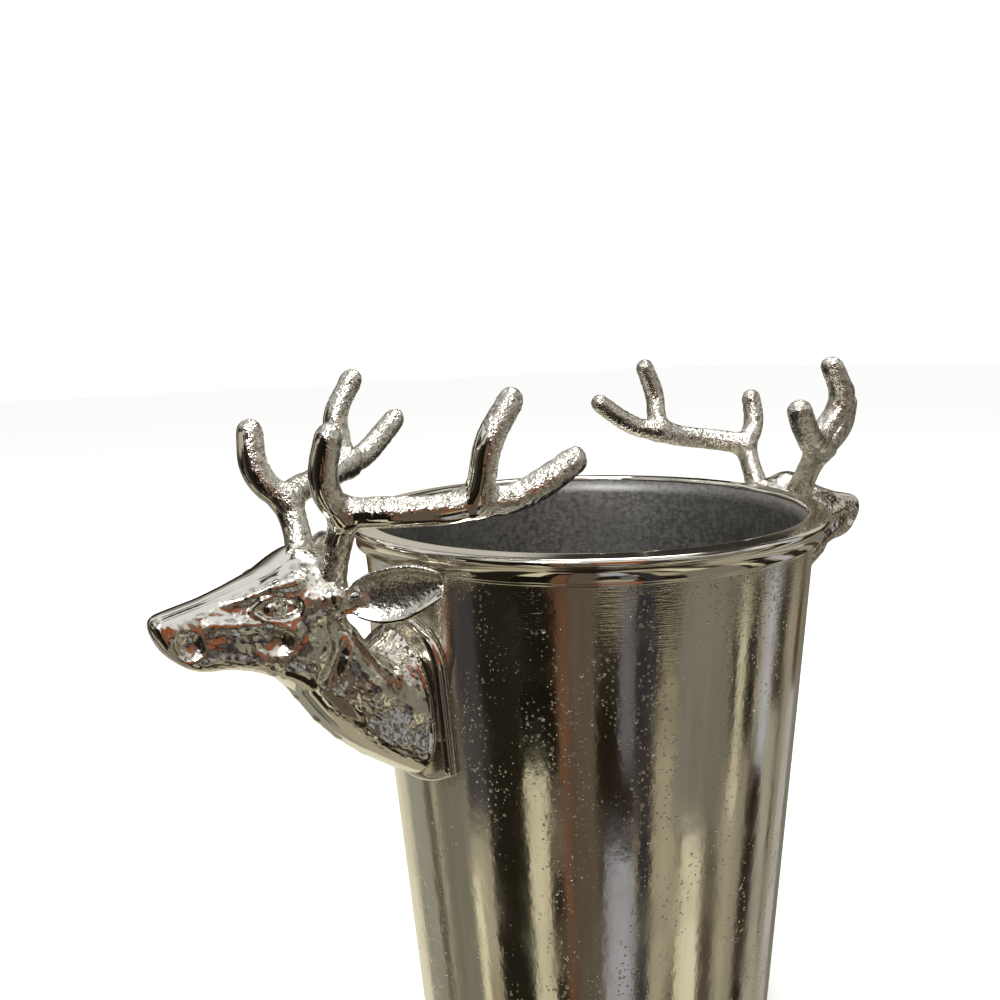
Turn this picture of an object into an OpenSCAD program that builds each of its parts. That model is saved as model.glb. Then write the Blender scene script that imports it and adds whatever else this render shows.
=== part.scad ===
/* [Bucket] */
// Height of the rim above the surface that the bucket stands on
bucket_h = 190; // [170:1:210]
// Outer radius of the polished lip
lip_r = 75; // [74.5:0.1:76]
// Outer radius of the tapered wall, carried up to the rim's height
wall_top_r = 70.7; // [70:0.1:71]
// Outer radius of the tapered wall, carried down to the table
wall_foot_r = 56.5; // [52:0.5:60]
// Thickness of the cast wall
wall_t = 2.8; // [2.4:0.1:3.2]
// Thickness of the floor plate
floor_t = 3; // [2.5:0.1:5]
// Height of the collar below the rim
collar_h = 8.2; // [7:0.1:10]

/* [Feet] */
// Radius of a rubber foot pad
pad_r = 6; // [4:0.5:8]
// Thickness of a foot pad
pad_t = 2; // [1.6:0.1:3]
// Clearance under the wall, which is what a pad stands out by
pad_proud = 1.2; // [0.8:0.1:1.4]
// Distance of a pad from the bucket's axis
pad_place_r = 44; // [35:1:45]

/* [Stag heads] */
// Reach of the nose from the bucket's axis
nose_reach = 136.5; // [132:0.5:140]
// Half the width of the plate behind the neck
plate_half_w = 20.5; // [18:0.5:22]
// Height of the plate's top below the rim
plate_top = 21; // [19:0.5:24]
// Height of the plate's side corners below the rim
plate_corner = 65.5; // [62:0.5:68]
// Height of the plate's lowest point below the rim
plate_bottom = 72; // [70:0.5:74]
// Thickness of the plate
plate_t = 2.5; // [2:0.1:3]

/* [Antlers] */
// Radius of an antler at its stem
stem_r = 3.2; // [2.8:0.1:3.6]
// Radius of an antler along its beam
beam_r = 3.9; // [3.4:0.1:4.2]
// Radius of a tine at its round tip
tip_r = 3.3; // [2.8:0.1:3.6]
// Fore and aft lean of the left head's front antler, set by hand
left_front_lean = -7; // [-8:1:4]
// Fore and aft lean of the left head's rear antler
left_rear_lean = 0; // [-8:1:4]
// Fore and aft lean of the right head's front antler
right_front_lean = 3; // [-8:1:4]
// Fore and aft lean of the right head's rear antler
right_rear_lean = 2; // [-8:1:4]

/* [Fixings] */
// Shank radius of a neck screw
screw_r = 2.5; // [2:0.1:3]
// Radius of a neck screw's pan head
screw_head_r = 4.75; // [4:0.1:5.5]
// Height of a neck screw's head
screw_head_h = 3.2; // [2.6:0.1:4]
// Depth of the screw heads below the rim, upper and lower
screw_drops = [36, 54];
// Radius of the threaded stud under an antler
stud_r = 1.5; // [1.2:0.1:1.8]
// Radius of the pin in an ear's root
ear_pin_r = 1.1; // [0.8:0.1:1.3]

/* [Hidden] */

turned_fn = 180;
cast_fn = 28;
antler_fn = 16;
nickel = [0.78, 0.76, 0.70];
dull_nickel = [0.50, 0.50, 0.49];
steel = [0.70, 0.71, 0.72];
black_rubber = [0.12, 0.12, 0.12];

// The lip: how far the wall's top edge sits below the rim, and the two rounded edges
lip_drop = 1.6;
lip_inner_round = 1.2;
lip_outer_round = 1.8;

// Everything on a head is placed in the head's own frame: X forward to the nose,
// Y to the stag's left, Z up from the rim
antler_seat = [92, 9, -6];
stem_mid = [92, 13, 3];
brow_fork = [92.5, 17, 11];
brow_mid = [100.5, 20, 21];
brow_tip = [100.5, 21.5, 29];
beam_mid = [81.5, 27.5, 13];
top_fork = [65.5, 36, 16.5];
upper_tip = [62, 41.5, 41];
upper_mid = [67.5, 41, 30];
rear_tip = [43.5, 46, 27.5];
stud_reach = 8;
pedicle_len = 9;

ear_seat = [91.5, 14.5, -11];
ear_yaw = 135;
ear_pitch = -8;
ear_len = 28;
ear_half_h = 6.7;
ear_boss_len = 8;
ear_pin_reach = 5;

washer_t = 1;
washer_r = 6;
seal_t = 2.4;
seal_r = 7;
// Span along X that holds a neck plate whole, and one that holds its screw holes in the wall
plate_span = [50, 85];
wall_span = [41.5, 75];
plate_shoulder = 14;
screw_clear = 0.2;
thread_clear = 0.02;
screw_bite = 9;

// Outer and inner radius of the wall at a height above the table
function wall_r(z) = wall_foot_r + (wall_top_r - wall_foot_r) * z / bucket_h;
function inner_r(z) = wall_r(z) - wall_t;
// A point at an angle on a circle
function on_circle(c, r, a) = c + r * [cos(a), sin(a)];
// Points of an arc about a centre, from one angle to another
function arc(c, r, a0, a1, n = 8) = [for (i = [0:n]) on_circle(c, r, a0 + (a1 - a0) * i / n)];

// A solid cone with the wall's taper, grown outwards by a thickness
module taper(grow) {
    cylinder(h = bucket_h, r1 = wall_foot_r + grow, r2 = wall_top_r + grow, $fn = turned_fn);
}

// Runs along X from x0 to x1 at a height above the table
module x_rod(x0, x1, z, r) {
    translate([x0, 0, z]) rotate([0, 90, 0]) cylinder(h = x1 - x0, r = r, $fn = 48);
}

// Puts a head's own frame on the left or right side of the bucket, or on both
module on_left() {
    translate([0, 0, bucket_h]) rotate([0, 0, 180]) children();
}

module on_right() {
    translate([0, 0, bucket_h]) children();
}

module on_both() {
    on_left() children();
    on_right() children();
}

// Repeats a shape on the other side of a head
module other_side() {
    mirror([0, 1, 0]) children();
}

module wall_blank() {
    top_z = bucket_h - lip_drop;
    rotate_extrude($fn = turned_fn) polygon([
        [inner_r(pad_proud), pad_proud],
        [wall_r(pad_proud), pad_proud],
        [wall_r(top_z), top_z],
        [inner_r(top_z), top_z]
    ]);
}

module bucket_wall() {
    color(nickel) difference() {
        wall_blank();
        for (drop = screw_drops) {
            z = bucket_h - drop;
            x_rod(-wall_span[1], -wall_span[0], z, screw_r + screw_clear);
            x_rod(wall_span[0], wall_span[1], z, screw_r + screw_clear);
        }
    }
}

module pad_places() {
    for (a = [45:90:315]) rotate([0, 0, a]) translate([pad_place_r, 0, 0]) children();
}

module bucket_floor() {
    top_z = pad_proud + floor_t;
    color(dull_nickel) difference() {
        translate([0, 0, pad_proud])
            cylinder(h = floor_t, r1 = inner_r(pad_proud), r2 = inner_r(top_z), $fn = turned_fn);
        pad_places() translate([0, 0, pad_proud - 1])
            cylinder(h = 1 + pad_t - pad_proud, r = pad_r, $fn = 64);
    }
}

module foot_pads() {
    color(black_rubber) pad_places() cylinder(h = pad_t, r = pad_r, $fn = 64);
}

module rim_collar() {
    lip_z = bucket_h - lip_drop;
    foot_z = bucket_h - collar_h;
    bead_r = wall_r(foot_z) + 1.8;
    outer_c = [lip_r - lip_outer_round, bucket_h - lip_outer_round];
    inner_c = [inner_r(lip_z) + lip_inner_round, bucket_h - lip_inner_round];
    flare_c = [lip_r, bucket_h - 5.6];
    color(nickel) rotate_extrude($fn = turned_fn) polygon(concat(
        [[wall_r(foot_z), foot_z], [wall_r(lip_z), lip_z], [inner_r(lip_z), lip_z]],
        arc(inner_c, lip_inner_round, 180, 90),
        arc(outer_c, lip_outer_round, 90, -50),
        arc(flare_c, 2.4, 130, 190),
        arc([bead_r - 1.2, foot_z + 1.2], 1.2, 30, -90)
    ));
}

// Outline of the plate, as width and height: round shoulders and a bowed lower edge
module plate_outline(inset = 0) {
    w = plate_half_w - inset;
    top = -plate_top - inset;
    corner = -plate_corner + inset;
    low = -plate_bottom + inset;
    bow = corner - low;
    bow_r = (w * w + bow * bow) / (2 * bow);
    bow_a = asin(w / bow_r);
    polygon(concat(
        arc([w - plate_shoulder, top - plate_shoulder], plate_shoulder, 0, 90),
        arc([plate_shoulder - w, top - plate_shoulder], plate_shoulder, 90, 180),
        arc([0, low + bow_r], bow_r, 270 - bow_a, 270 + bow_a)
    ));
}

// The outline as a bar along X, in a head's own frame
module plate_bar(x0, x1, inset = 0) {
    translate([x0, 0, 0]) rotate([90, 0, 90]) linear_extrude(x1 - x0) plate_outline(inset);
}

module screw_holes(x0, x1, r) {
    for (drop = screw_drops) x_rod(x0, x1, -drop, r);
}

module neck_plate() {
    color(nickel) difference() {
        intersection() {
            plate_bar(plate_span[0], plate_span[1]);
            translate([0, 0, -bucket_h]) taper(plate_t);
        }
        translate([0, 0, -bucket_h]) taper(0);
        screw_holes(plate_span[0], plate_span[1], screw_r + screw_clear);
    }
}

// Places its children at an antler's seat, with Z up the stem and the antler's lean
module at_antler_seat(lean) {
    up = stem_mid - antler_seat;
    translate(antler_seat) rotate([0, lean, 0]) rotate([-atan2(up[1], up[2]), 0, 0]) children();
}

// Places its children at an ear's seat, with X out along the ear
module at_ear_seat() {
    translate(ear_seat) rotate([0, 0, ear_yaw]) rotate([0, ear_pitch, 0]) children();
}

module blob(at, half) {
    translate(at) scale(half) sphere(r = 1, $fn = cast_fn);
}

// Two egg shapes run together
module joined(at_a, half_a, at_b, half_b) {
    hull() {
        blob(at_a, half_a);
        blob(at_b, half_b);
    }
}

module head_flesh() {
    nose_half = 6.7;
    nose = [nose_reach - nose_half, 0, -17.4];
    cheek = [117, 0, -18];
    skull = [103, 0, -15.5];
    nape = [91, 0, -24];
    gullet = [82, 0, -45];
    nose_size = [nose_half, 5.4, 6.4];
    cheek_size = [8, 7.5, 10];
    skull_size = [12, 13, 14];
    nape_size = [10, 14, 15];
    gullet_size = [11, 15, 15];
    joined(nose, nose_size, cheek, cheek_size);
    joined(cheek, cheek_size, skull, skull_size);
    joined(skull, skull_size, nape, nape_size);
    joined(nape, nape_size, gullet, gullet_size);
    hull() {
        blob(gullet, gullet_size);
        plate_bar(62, 67, 1.5);
    }
}

module stag_head(front_lean, rear_lean) {
    color(nickel) difference() {
        union() {
            head_flesh();
            at_antler_seat(front_lean) translate([0, 0, -pedicle_len])
                cylinder(h = pedicle_len, r = stem_r + 0.3, $fn = 32);
            other_side() at_antler_seat(rear_lean) translate([0, 0, -pedicle_len])
                cylinder(h = pedicle_len, r = stem_r + 0.3, $fn = 32);
            at_ear_seat() rotate([0, -90, 0]) cylinder(h = ear_boss_len, r = 3.2, $fn = 32);
            other_side() at_ear_seat() rotate([0, -90, 0]) cylinder(h = ear_boss_len, r = 3.2, $fn = 32);
        }
        translate([0, 0, -bucket_h]) taper(plate_t);
        for (drop = screw_drops) {
            seat_x = wall_r(bucket_h - drop) + plate_t;
            x_rod(plate_span[0], seat_x + screw_bite + 1, -drop, screw_r + thread_clear);
        }
        at_antler_seat(front_lean) antler_stud_rod(thread_clear);
        other_side() at_antler_seat(rear_lean) antler_stud_rod(thread_clear);
        at_ear_seat() ear_pin_rod(thread_clear);
        other_side() at_ear_seat() ear_pin_rod(thread_clear);
    }
}

module antler_stud_rod(grow = 0) {
    translate([0, 0, -stud_reach]) cylinder(h = 2 * stud_reach - 2, r = stud_r + grow, $fn = 32);
}

module ear_pin_rod(grow = 0) {
    translate([-ear_pin_reach, 0, 0]) rotate([0, 90, 0])
        cylinder(h = 2 * ear_pin_reach, r = ear_pin_r + grow, $fn = 32);
}

module ball(at, r) {
    translate(at - antler_seat) sphere(r = r, $fn = antler_fn);
}

// A round-ended branch between two points
module branch(from, from_r, to, to_r) {
    hull() {
        ball(from, from_r);
        ball(to, to_r);
    }
}

// One antler: a stem to the brow fork, a brow tine, a beam, and two tines at the top fork
module antler(lean) {
    up = stem_mid - antler_seat;
    color(nickel) difference() {
        translate(antler_seat) rotate([0, lean, 0]) {
            hull() {
                rotate([-atan2(up[1], up[2]), 0, 0]) cylinder(h = 1, r = stem_r, $fn = antler_fn);
                ball(brow_fork, beam_r);
            }
            branch(brow_fork, beam_r, brow_mid, tip_r + 0.4);
            branch(brow_mid, tip_r + 0.4, brow_tip, tip_r);
            hull() {
                ball(brow_fork, beam_r);
                ball(beam_mid, beam_r);
                ball(top_fork, beam_r + 0.3);
            }
            branch(top_fork, beam_r + 0.3, upper_mid, tip_r + 0.2);
            branch(upper_mid, tip_r + 0.2, upper_tip, tip_r);
            branch(top_fork, beam_r + 0.3, rear_tip, tip_r);
        }
        at_antler_seat(lean) antler_stud_rod(thread_clear);
    }
}

module ear() {
    color(nickel) difference() {
        at_ear_seat() hull() {
            rotate([0, 90, 0]) cylinder(h = 1, r = 2.9, $fn = cast_fn);
            translate([0.5 * ear_len, 0, 0]) scale([8, 2, ear_half_h]) sphere(r = 1, $fn = cast_fn);
            translate([ear_len - 1.2, 0, 1]) sphere(r = 1.2, $fn = 16);
        }
        at_ear_seat() ear_pin_rod(thread_clear);
    }
}

module antler_studs() {
    color(steel) {
        on_left() {
            at_antler_seat(left_front_lean) antler_stud_rod();
            other_side() at_antler_seat(left_rear_lean) antler_stud_rod();
        }
        on_right() {
            at_antler_seat(right_rear_lean) antler_stud_rod();
            other_side() at_antler_seat(right_front_lean) antler_stud_rod();
        }
    }
}

module ear_pins() {
    color(steel) on_both() {
        at_ear_seat() ear_pin_rod();
        other_side() at_ear_seat() ear_pin_rod();
    }
}

// Where the flat washer meets the sealing washer, at a depth below the rim
function seal_face(drop) = inner_r(bucket_h - drop) - seal_t;

module neck_screws() {
    socket_r = 1.75;
    socket_deep = 1.8;
    color(steel) on_both() for (drop = screw_drops) {
        seat_x = seal_face(drop) - washer_t;
        tip_x = wall_r(bucket_h - drop) + plate_t + screw_bite;
        difference() {
            union() {
                x_rod(seat_x - screw_head_h, seat_x, -drop, screw_head_r);
                x_rod(seat_x - 0.1, tip_x, -drop, screw_r);
            }
            translate([seat_x - screw_head_h - 1, 0, -drop]) rotate([0, 90, 0])
                cylinder(h = socket_deep + 1, r = socket_r, $fn = 6);
        }
    }
}

module screw_washers() {
    color(steel) on_both() for (drop = screw_drops) {
        seat_x = seal_face(drop) - washer_t;
        difference() {
            x_rod(seat_x, seat_x + washer_t, -drop, washer_r);
            x_rod(seat_x - 1, seat_x + washer_t + 1, -drop, screw_r + screw_clear);
        }
    }
}

module sealing_washers() {
    color(black_rubber) on_both() for (drop = screw_drops) {
        face_x = seal_face(drop);
        difference() {
            intersection() {
                x_rod(face_x, face_x + 2 * seal_t, -drop, seal_r);
                translate([0, 0, -bucket_h]) taper(-wall_t);
            }
            x_rod(face_x - 1, face_x + 3 * seal_t, -drop, screw_r + screw_clear);
        }
    }
}

bucket_wall();
bucket_floor();
rim_collar();
foot_pads();
on_left() stag_head(left_front_lean, left_rear_lean);  // left_stag_head
on_right() stag_head(right_rear_lean, right_front_lean);  // right_stag_head
on_left() neck_plate();  // left_neck_plate
on_right() neck_plate();  // right_neck_plate
on_left() ear();  // left_front_ear
on_left() other_side() ear();  // left_rear_ear
on_right() other_side() ear();  // right_front_ear
on_right() ear();  // right_rear_ear
on_left() antler(left_front_lean);  // left_front_antler
on_left() other_side() antler(left_rear_lean);  // left_rear_antler
on_right() other_side() antler(right_front_lean);  // right_front_antler
on_right() antler(right_rear_lean);  // right_rear_antler
antler_studs();
ear_pins();
neck_screws();
screw_washers();
sealing_washers();
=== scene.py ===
import math

import bpy
import bmesh
import numpy as np
from mathutils import Matrix, Vector


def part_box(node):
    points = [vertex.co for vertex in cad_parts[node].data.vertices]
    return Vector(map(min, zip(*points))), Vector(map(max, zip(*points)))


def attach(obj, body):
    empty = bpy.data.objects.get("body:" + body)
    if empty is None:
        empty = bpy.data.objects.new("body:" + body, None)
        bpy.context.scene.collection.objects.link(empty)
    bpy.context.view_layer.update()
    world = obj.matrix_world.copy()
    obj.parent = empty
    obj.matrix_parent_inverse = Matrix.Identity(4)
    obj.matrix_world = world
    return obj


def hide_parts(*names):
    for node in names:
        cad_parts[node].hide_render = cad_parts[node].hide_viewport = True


bl_info = {
    "name": "Stag-head champagne bucket",
    "version": (1, 0, 0),
    "blender": (4, 5, 0),
    "location": "3D View > Sidebar > Bucket",
    "description": "Builds a cast, nickel-plated champagne bucket with two stag-head handles",
    "category": "Add Mesh",
}

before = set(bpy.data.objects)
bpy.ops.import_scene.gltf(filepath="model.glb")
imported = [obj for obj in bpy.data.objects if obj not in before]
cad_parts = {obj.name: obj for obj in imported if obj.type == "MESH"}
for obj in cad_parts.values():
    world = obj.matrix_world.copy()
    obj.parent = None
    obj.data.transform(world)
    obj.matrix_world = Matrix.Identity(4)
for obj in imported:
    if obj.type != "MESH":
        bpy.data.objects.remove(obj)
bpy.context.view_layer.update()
MM = 0.001

RIM_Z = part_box("rim_collar")[1].z / MM
LIP_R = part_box("rim_collar")[1].x / MM
COLLAR_FOOT_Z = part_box("rim_collar")[0].z / MM
WALL_FOOT_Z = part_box("bucket_wall")[0].z / MM
WALL_TOP_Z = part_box("bucket_wall")[1].z / MM
WALL_TOP_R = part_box("bucket_wall")[1].y / MM
NOSE_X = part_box("right_stag_head")[1].x / MM
FLOOR_TOP_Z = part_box("bucket_floor")[1].z / MM
FLOOR_TOP_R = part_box("bucket_floor")[1].y / MM
WALL_T = 2.8
# Points nearer than this are one point
MERGE_MM, SEAM_MM = 0.002, 0.001
# The wall's inner edge meets the floor's edge, which gives the taper
WALL_SLOPE = (WALL_TOP_R - WALL_T - FLOOR_TOP_R) / (WALL_TOP_Z - FLOOR_TOP_Z)


def wall_r(z):
    """Outer radius of the wall, in mm, at a height above the table."""
    return WALL_TOP_R - (WALL_TOP_Z - z) * WALL_SLOPE


# ---------------------------------------------------------------- sizes and colours


class BucketSizes(bpy.types.PropertyGroup):
    """Sizes of the turned pieces that the frame doesn't fix."""

    turns: bpy.props.IntProperty(
        name="Steps round", description="Faces round the wall and the collar", default=480, min=48)
    ripple: bpy.props.FloatProperty(
        name="Hand-polish ripple", description="Depth of the soft waves that polishing leaves in the wall, in mm",
        default=0.06, min=0.0, max=0.3)
    ripple_width: bpy.props.FloatProperty(
        name="Ripple width", description="Width of one soft wave, in mm", default=15.0, min=4.0)


class HeadSizes(bpy.types.PropertyGroup):
    """Sizes of the cast stag heads, ears and antlers."""

    cell: bpy.props.FloatProperty(
        name="Surface cell", description="Edge of a face on a head, in mm", default=0.46, min=0.3, max=2.0)
    antler_cell: bpy.props.FloatProperty(
        name="Antler cell", description="Edge of a face on an antler, in mm", default=0.42, min=0.3, max=2.0)
    fur: bpy.props.FloatProperty(
        name="Fur depth", description="Depth of the cast fur on cheeks and neck, in mm", default=0.24, min=0.0, max=0.6)
    sand: bpy.props.FloatProperty(
        name="Sand depth", description="Depth of the sand-cast grain on the antlers, in mm", default=0.20, min=0.0,
        max=0.4)


class Finishes(bpy.types.PropertyGroup):
    """Colours of the finishes, as sRGB hex."""

    nickel: bpy.props.StringProperty(
        name="Polished nickel", description="Colour of bright nickel plate, sRGB hex", default="DEDBD2")
    # The nickel in hollows is painted shade where a cast piece's hollow mark is high, and a random darker tone in its
    # grit.
    nickel_deep: bpy.props.StringProperty(
        name="Nickel in hollows", description="Colour of the plate where polish never reaches, sRGB hex",
        default="8E8674")
    inside: bpy.props.StringProperty(
        name="Satin inside", description="Colour of the dull inner wall, sRGB hex", default="979693")
    steel: bpy.props.StringProperty(
        name="Stainless steel", description="Colour of screws, studs and washers, sRGB hex", default="C9CACB")
    rubber: bpy.props.StringProperty(
        name="Rubber", description="Colour of pads and sealing washers, sRGB hex", default="1B1B1C")
    floor: bpy.props.StringProperty(
        name="Studio floor", description="Colour of the pale floor, sRGB hex", default="FBFBFA")


def linear(hex_colour, alpha=1.0):
    """An sRGB hex colour as linear RGBA."""
    parts = [int(hex_colour[i:i + 2], 16) / 255 for i in (0, 2, 4)]
    return [c / 12.92 if c <= 0.04045 else ((c + 0.055) / 1.055) ** 2.4 for c in parts] + [alpha]


def feed(tree, node, inputs):
    """Sets a node's inputs: each is given a value, a socket, or a node whose first output feeds it."""
    for key, value in inputs.items():
        if isinstance(value, bpy.types.Node):
            value = value.outputs[0]
        if isinstance(value, bpy.types.NodeSocket):
            tree.links.new(value, node.inputs[key])
        else:
            node.inputs[key].default_value = value


def put(tree, kind, inputs=None, **settings):
    """Adds a node with its settings and its inputs."""
    node = tree.nodes.new(kind)
    for key, value in settings.items():
        setattr(node, key, value)
    feed(tree, node, inputs or {})
    return node


# ---------------------------------------------------------------- modelling with distance fields
# Cast pieces are blended from simple solids: each function gives every point's distance to
# one solid, in mm and negative inside, and surface_net turns the sum into a closed skin.


def rod(p, a, b, ra, rb):
    """Distance to a round-ended rod whose radius runs from ra to rb."""
    a, b = np.array(a, float), np.array(b, float)
    ab = b - a
    t = np.clip(((p - a) @ ab) / (ab @ ab), 0, 1)
    return np.linalg.norm(p - a - t[:, None] * ab, axis=1) - (ra + (rb - ra) * t)


def chain(p, points, radii, soft):
    """Distance to rods joined end to end."""
    total = rod(p, points[0], points[1], radii[0], radii[1])
    for i in range(1, len(points) - 1):
        total = flow(total, rod(p, points[i], points[i + 1], radii[i], radii[i + 1]), soft)
    return total


def egg(p, centre, half, turn=None):
    """Distance to an ellipsoid, close to its surface; turn is a rotation matrix whose columns are its axes."""
    q = p - np.array(centre, float)
    if turn is not None:
        q = q @ turn
    half = np.array(half, float)
    k0 = np.linalg.norm(q / half, axis=1)
    k1 = np.linalg.norm(q / half ** 2, axis=1) + 1e-9
    return k0 * (k0 - 1) / k1


def flow(d1, d2, soft):
    """Two solids run together with a soft fillet."""
    h = np.clip(0.5 + 0.5 * (d2 - d1) / soft, 0, 1)
    return d2 + (d1 - d2) * h - soft * h * (1 - h)


def meet(d1, d2, soft):
    """The part that two solids share, with a soft edge."""
    return -flow(-d1, -d2, soft)


def carve(d, tool, soft):
    """A solid with another cut out of it, with a soft edge."""
    return meet(d, -tool, soft)


def smooth(x, low, high):
    """0 below low, 1 above high, with a soft turn between."""
    t = np.clip((x - low) / (high - low), 0, 1)
    return t * t * (3 - 2 * t)


def lattice_value(ix, iy, iz, seed):
    """A repeatable number from 0 to 1 for each lattice point."""
    h = (ix * 374761393 + iy * 668265263 + iz * 1274126177 + seed * 974634777) & 0xFFFFFFFF
    h = ((h ^ (h >> 13)) * 1103515245) & 0xFFFFFFFF
    h = ((h ^ (h >> 16)) * 2246822519) & 0xFFFFFFFF
    return ((h ^ (h >> 13)) & 0xFFFFFF) / 0xFFFFFF


def grain(p, size, seed):
    """Smooth noise from -1 to 1 with grains of a size in mm."""
    q = p / size
    base = np.floor(q)
    f = q - base
    w = f * f * (3 - 2 * f)
    ix, iy, iz = (base[:, i].astype(np.int64) for i in range(3))
    total = np.zeros(len(p))
    for dx in (0, 1):
        for dy in (0, 1):
            for dz in (0, 1):
                share = (w[:, 0] if dx else 1 - w[:, 0]) * (w[:, 1] if dy else 1 - w[:, 1])
                share = share * (w[:, 2] if dz else 1 - w[:, 2])
                total += share * lattice_value(ix + dx, iy + dy, iz + dz, seed)
    return 2 * total - 1


def surface_net(field, low, step):
    """Points and quads of the surface where a sampled field crosses zero; faces look outwards."""
    inside = field < 0
    corners = [(i, j, k) for i in (0, 1) for j in (0, 1) for k in (0, 1)]
    size = [n - 1 for n in field.shape]
    mixed = np.zeros(size, bool)
    first = inside[:-1, :-1, :-1]
    for i, j, k in corners[1:]:
        mixed |= inside[i:i + size[0], j:j + size[1], k:k + size[2]] != first
    cell = np.argwhere(mixed)
    number = np.full(mixed.shape, -1, np.int64)
    number[mixed] = np.arange(len(cell))
    value = np.stack([field[tuple((cell + c).T)] for c in corners], 1)
    corner = np.array(corners, float)
    total, count = np.zeros((len(cell), 3)), np.zeros(len(cell))
    for a in range(8):
        for b in range(a + 1, 8):
            if np.abs(corner[a] - corner[b]).sum() != 1:
                continue
            cross = (value[:, a] < 0) != (value[:, b] < 0)
            t = value[cross, a] / (value[cross, a] - value[cross, b])
            total[cross] += corner[a] + t[:, None] * (corner[b] - corner[a])
            count[cross] += 1
    points = low + (cell + total / count[:, None]) * step
    quads = []
    for axis, (u, v) in enumerate(((1, 2), (2, 0), (0, 1))):
        near = np.take(inside, range(size[axis]), axis)
        far = np.take(inside, range(1, size[axis] + 1), axis)
        edge = np.argwhere(near != far)
        clear = (edge[:, u] > 0) & (edge[:, v] > 0) & (edge[:, u] < size[u]) & (edge[:, v] < size[v])
        edge = edge[clear]
        du, dv = np.eye(3, dtype=int)[u], np.eye(3, dtype=int)[v]
        four = [number[tuple((edge - du * i - dv * j).T)] for i, j in ((1, 1), (0, 1), (0, 0), (1, 0))]
        four = np.stack(four, 1)
        turned = ~near[tuple(edge.T)]
        four[turned] = four[turned][:, ::-1]
        quads.append(four)
    return points, np.concatenate(quads)


def slope_of(shape, p, reach=0.05):
    """Gradient of a distance function at points."""
    sides = [shape(p + reach * e) - shape(p - reach * e) for e in np.eye(3)]
    return np.stack(sides, 1) / (2 * reach)


def sampled(shape, axes):
    """A distance function at every point of a grid, skipping whole blocks that lie far from the surface."""
    block = 6
    coarse = [np.append(a[::block], a[-1] + block * (a[1] - a[0])) for a in axes]
    spots = np.stack(np.meshgrid(*coarse, indexing="ij"), -1).reshape(-1, 3)
    rough = shape(spots).reshape([len(a) for a in coarse])
    cell = [np.minimum(np.arange(len(a)) // block, len(c) - 2) for a, c in zip(axes, coarse)]
    field = rough[np.ix_(*cell)]
    near = np.abs(field) < 2.0 * block * (axes[0][1] - axes[0][0])
    index = np.argwhere(near)
    for part in np.array_split(index, max(1, len(index) // 200000)):
        p = np.column_stack([axes[k][part[:, k]] for k in range(3)])
        field[tuple(part.T)] = shape(p)
    return field


def skin_of(shape, low, high, step):
    """Closed mesh of a distance function inside a box: points, quads and outward normals."""
    low = np.array(low, float)
    axes = [np.arange(lo, hi + step, step) for lo, hi in zip(low, high)]
    points, quads = surface_net(sampled(shape, axes), low, step)
    for _ in range(3):
        g = slope_of(shape, points)
        shift = shape(points) / np.maximum((g * g).sum(1), 0.05)
        points = points - np.clip(shift, -step, step)[:, None] * g
    g = slope_of(shape, points, 0.25)
    return points, quads, g / np.linalg.norm(g, axis=1)[:, None]


# ---------------------------------------------------------------- meshes


def new_piece(name, points_mm, faces, marks=None):
    """A mesh object from points in mm, smooth shaded; marks are named numbers kept at its points."""
    mesh = bpy.data.meshes.new(name)
    points = np.asarray(points_mm, float) * MM
    mesh.from_pydata(points.tolist(), [], [list(map(int, f)) for f in faces])
    for key, values in (marks or {}).items():
        layer = mesh.attributes.new(key, "FLOAT", "POINT")
        layer.data.foreach_set("value", np.asarray(values, np.float32))
    mesh.polygons.foreach_set("use_smooth", np.ones(len(mesh.polygons), bool))
    mesh.update()
    piece = bpy.data.objects.new(name, mesh)
    bpy.context.scene.collection.objects.link(piece)
    return piece


def finish_piece(piece, slot, material, *nodes):
    """Gives a piece its finish, sets it on the bucket and hides the solids that it stands for."""
    if material is not None:
        piece.data.materials.clear()
        piece.data.materials.append(material)
    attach(piece, "root")
    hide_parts(*nodes)
    return piece


def tidy_skin(piece):
    """Merges doubled points and turns every face outwards."""
    bm = bmesh.new()
    bm.from_mesh(piece.data)
    bmesh.ops.remove_doubles(bm, verts=bm.verts, dist=MERGE_MM * MM)
    bmesh.ops.recalc_face_normals(bm, faces=bm.faces)
    bm.to_mesh(piece.data)
    bm.free()
    return piece


def to_bucket(p, side, mirrored=False):
    """Points in a head's frame, moved to the bucket's: side is 1 for the right head and -1 for the left."""
    q = np.array(p, float)
    if mirrored:
        q[:, 1] = -q[:, 1]
    q[:, :2] = q[:, :2] * side
    q[:, 2] += RIM_Z
    return q


def bake_nodes(name, source, tree, inputs):
    """Runs a node tree on an object and returns the result as a plain mesh object."""
    modifier = source.modifiers.new("make", "NODES")
    modifier.node_group = tree
    sockets = {item.name: item.identifier for item in tree.interface.items_tree if item.in_out == "INPUT"}
    for key, value in inputs.items():
        modifier[sockets[key]] = value
    bpy.context.view_layer.update()
    evaluated = source.evaluated_get(bpy.context.evaluated_depsgraph_get())
    mesh = bpy.data.meshes.new_from_object(evaluated)
    mesh.name = name
    source.modifiers.remove(modifier)
    bpy.data.objects.remove(source)
    piece = bpy.data.objects.new(name, mesh)
    bpy.context.scene.collection.objects.link(piece)
    mesh.polygons.foreach_set("use_smooth", np.ones(len(mesh.polygons), bool))
    return piece


def tree_with(name, sockets):
    """An empty geometry node tree with named inputs, and its input node."""
    tree = bpy.data.node_groups.new(name, "GeometryNodeTree")
    tree.interface.new_socket("Geometry", in_out="INPUT", socket_type="NodeSocketGeometry")
    for key, kind in sockets:
        tree.interface.new_socket(key, in_out="INPUT", socket_type=kind)
    tree.interface.new_socket("Geometry", in_out="OUTPUT", socket_type="NodeSocketGeometry")
    return tree, put(tree, "NodeGroupInput")


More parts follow.
